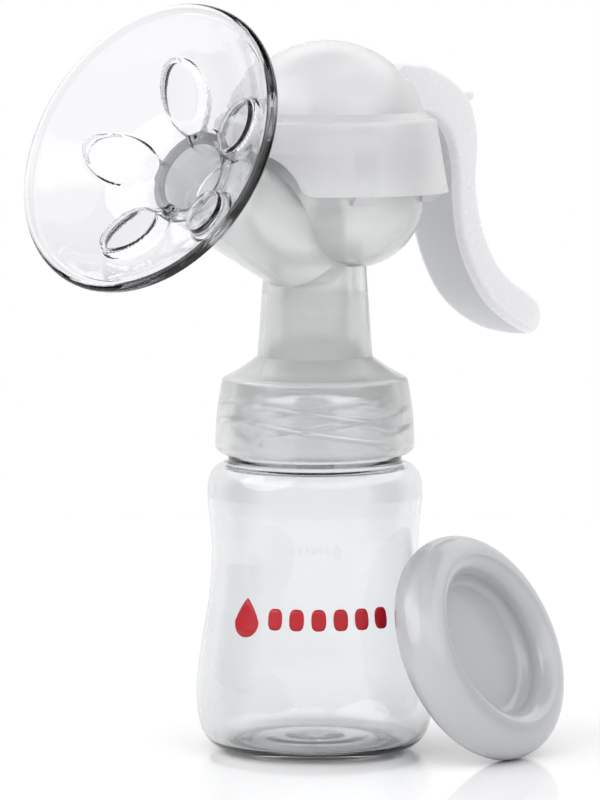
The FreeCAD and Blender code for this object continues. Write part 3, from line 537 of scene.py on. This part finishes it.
crystal, crystal_tree, crystal_shader = new_material("crystal_clear_rubber")
crystal_shader.inputs["Base Color"].default_value = linear("#fdfdff")
crystal_shader.inputs["IOR"].default_value = 1.45
crystal_shader.inputs["Transmission Weight"].default_value = 1.0
uneven_gloss(crystal_tree, crystal_shader, 8, 0.0, 0.03)
relief(crystal_tree, crystal_shader, 14, 0.03, 0.0)
deep_tint(crystal, 65.0)
funnel = new_piece("petal_funnel", funnel_mesh, crystal, "cushion")
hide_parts("massage_cushion")


# --- Domed cover --------------------------------------------------------------------------------
# The same frosted polypropylene as the head, a little denser: a dome over a stepped, flared skirt,
# arched where the tunnel passes and slotted for the lever, with four keys that centre it.
cover_pp, cover_tree, cover_shader = new_material("dense_frosted_polypropylene")
cover_shader.inputs["Base Color"].default_value = linear("#fdfdfe")
cover_shader.inputs["IOR"].default_value = 1.49
cover_shader.inputs["Transmission Weight"].default_value = 0.55
uneven_gloss(cover_tree, cover_shader, 14, 0.17, 0.25)
relief(cover_tree, cover_shader, 0.8, 0.003)
dress("dome_cover", cover_pp)


# --- Lever --------------------------------------------------------------------------------------
# Frosted polypropylene, thick enough to be opaque, with rounded edges: smooth outside, with a fine
# spark grain on the side towards the bottle, where the colour is also painted greyer as shade. It
# turns on the pin, and its fork lifts the stem.
# Past the grain start the underside takes the grain and a grey painted as shade.
LEVER_EDGE, BELLY_CROWN, GRAIN_AND_SHADE_STARTS, TINE_OFFSET = 1.8, 0.8, 34, 4.68
BLADE = [((13.7, 177.1), (13.7, 181.4), 9.9), ((17.0, 177.0), (17.0, 181.5), 10.0),
         ((21.0, 177.0), (22.6, 188.4), 10.0), ((26.0, 177.1), (26.6, 194.2), 10.0),
         ((31.5, 177.8), (33.0, 194.0), 10.0), ((37.3, 180.1), (39.1, 193.4), 10.0),
         ((45.4, 178.0), (50.5, 189.2), 10.0), ((51.5, 172.2), (59.6, 182.4), 10.0),
         ((54.3, 163.8), (63.0, 171.5), 10.0), ((54.9, 155.0), (62.3, 159.5), 10.0),
         ((56.9, 143.7), (65.3, 146.6), 10.0), ((61.9, 133.5), (71.6, 136.0), 10.0),
         ((69.0, 124.9), (79.1, 129.7), 10.0), ((78.0, 118.9), (87.3, 125.6), 9.9),
         ((87.0, 114.9), (93.6, 121.9), 9.3), ((93.4, 113.2), (96.8, 117.6), 7.6),
         ((95.9, 113.3), (97.4, 115.3), 5.2)]
TINE = [((2.65, 179.3), (2.65, 180.7), 0.8), ((3.4, 178.0), (3.4, 182.0), 1.2),
        ((4.8, 177.15), (4.8, 182.8), 1.32), ((6.4, 177.0), (6.4, 182.8), 1.32),
        ((10.6, 177.0), (10.6, 181.5), 1.32), ((15.0, 177.0), (15.0, 181.5), 1.32)]
THUMB_RIDGE = [((55.0, 182.5), (55.0, 185.5), 7.5), ((62.4, 182.5), (62.4, 185.5), 7.5),
               ((63.7, 182.9), (63.7, 185.1), 7.3), ((64.35, 183.6), (64.35, 184.4), 6.8)]


def between(stations, steps):
    """Stations along a smooth line through the given ones."""
    flat = [(*low, *high, half) for low, high, half in stations]
    ends = [flat[0]] + flat + [flat[-1]]
    made = []
    for i in range(1, len(ends) - 2):
        for k in range(steps):
            t = k / steps
            made.append([0.5 * (2 * b + (c - a) * t + (2 * a - 5 * b + 4 * c - d) * t * t
                                + (3 * b - a - 3 * c + d) * t ** 3)
                         for a, b, c, d in zip(*ends[i - 1:i + 3])])
    return made + [list(flat[-1])]


def section(thick, half, edge, crown):
    """A rounded block's outline, as (across, up, is underneath) points, with a crowned underside."""
    edge = min(edge, 0.46 * thick, 0.9 * half)
    points = []
    for side, level, start in ((1, 1, 0), (-1, 1, 90), (-1, 0, 180), (1, 0, 270)):
        for k in range(6):
            angle = radians(start + 18 * k)
            points.append((side * (half - edge) + edge * cos(angle),
                           (thick - edge if level else edge) + edge * sin(angle), False))
        if start == 180:
            reach = half - edge
            points += [(reach * (k / 5 - 1), 0.0, True) for k in range(1, 10)]
    return [(y, up - crown * max(1 - (y / half) ** 2, 0) * (up < edge), under)
            for y, up, under in points]


def loft(mesh, stations, middle, edge, crown, steps):
    """Adds a closed bar through stations, set sideways by middle; a crowned underside gets the grain
    and a grey painted as shade.
    """
    rings = []
    for x1, z1, x2, z2, half in between(stations, steps):
        thick = hypot(x2 - x1, z2 - z1)
        along = ((x2 - x1) / thick, (z2 - z1) / thick)
        outline = section(thick, half, edge, crown)
        rings.append([mesh.verts.new((x1 + up * along[0], middle + y, z1 + up * along[1]))
                      for y, up, _ in outline])
    for ring, following in zip(rings, rings[1:]):
        for k, (_, _, under) in enumerate(outline):
            after = (k + 1) % len(ring)
            face = mesh.faces.new((ring[k], ring[after], following[after], following[k]))
            # Faces past the grain start take the second material, whose grey is painted shade.
            grain_and_shade_face = under and crown > 0 and face.calc_center_median().x > GRAIN_AND_SHADE_STARTS
            face.material_index = int(grain_and_shade_face)
    for ring in (rings[0], rings[-1]):
        centre = mesh.verts.new(sum((v.co for v in ring), Vector()) / len(ring))
        for k in range(len(ring)):
            mesh.faces.new((ring[k], ring[(k + 1) % len(ring)], centre))


lever_pp, lever_tree, lever_shader = new_material("thick_frosted_polypropylene")
lever_shader.inputs["Base Color"].default_value = linear("#ececee")
lever_shader.inputs["IOR"].default_value = 1.49
uneven_gloss(lever_tree, lever_shader, 7, 0.2, 0.3)
relief(lever_tree, lever_shader, 1.2, 0.004)

# Spark-eroded grain: a satin side where the mould was left rough; its greyer colour is painted shade.
grain_and_painted_shade_pp, grain_and_painted_shade_tree, grain_and_painted_shade_shader = new_material("spark_grain_and_painted_shade_polypropylene")
grain_and_painted_shade_shader.inputs["IOR"].default_value = 1.49
speck = add(grain_and_painted_shade_tree, "ShaderNodeTexNoise",
            {"Vector": mm_texture(grain_and_painted_shade_tree, 0.7), "Detail": 4.0})
# Greys that vary with the grain, darker than the lever overall as painted shade.
grain_and_shade_tone = add(grain_and_painted_shade_tree, "ShaderNodeMix",
           {0: speck.outputs[0], 6: linear("#c3c4c7"), 7: linear("#d3d4d7")}, data_type="RGBA")
grain_and_painted_shade_tree.links.new(grain_and_shade_tone.outputs[2], grain_and_painted_shade_shader.inputs["Base Color"])
uneven_gloss(grain_and_painted_shade_tree, grain_and_painted_shade_shader, 9, 0.3, 0.42)
relief(grain_and_painted_shade_tree, grain_and_painted_shade_shader, 0.7, 0.006, 4.0)

bars = bmesh.new()
loft(bars, BLADE, 0.0, LEVER_EDGE, BELLY_CROWN, 6)
for side in (-TINE_OFFSET, TINE_OFFSET):
    loft(bars, TINE, side, 0.5, 0.0, 3)
loft(bars, THUMB_RIDGE, 0.0, 1.2, 0.0, 4)
bmesh.ops.recalc_face_normals(bars, faces=bars.faces)
lever_mesh = bpy.data.meshes.new("squeeze_lever")
bars.to_mesh(lever_mesh)
lever_mesh.transform(Matrix.Scale(MM, 4))
lever_mesh.shade_smooth()
lever = new_piece("squeeze_lever", lever_mesh, lever_pp, "lever")
lever_mesh.materials.append(grain_and_painted_shade_pp)
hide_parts("lever")


# --- Stand --------------------------------------------------------------------------------------
# Glossy white ABS, moulded and polished: a fat ring with a shallow recess for the bottle's foot.
# It leans on the bottle. The gloss carries a faint orange peel, and the white is painted down to a
# mid grey as shade.
gloss_abs, gloss_tree, gloss_shader = new_material("polished_white_abs_painted_grey_shade")
# Base colour: a mid grey, painted shade on what is white ABS.
gloss_shader.inputs["Base Color"].default_value = linear("#babbbe")
gloss_shader.inputs["IOR"].default_value = 1.53
gloss_shader.inputs["Coat Weight"].default_value = 0.3
uneven_gloss(gloss_tree, gloss_shader, 10, 0.12, 0.2)
relief(gloss_tree, gloss_shader, 2.5, 0.01)
dress("bottle_stand", gloss_abs)
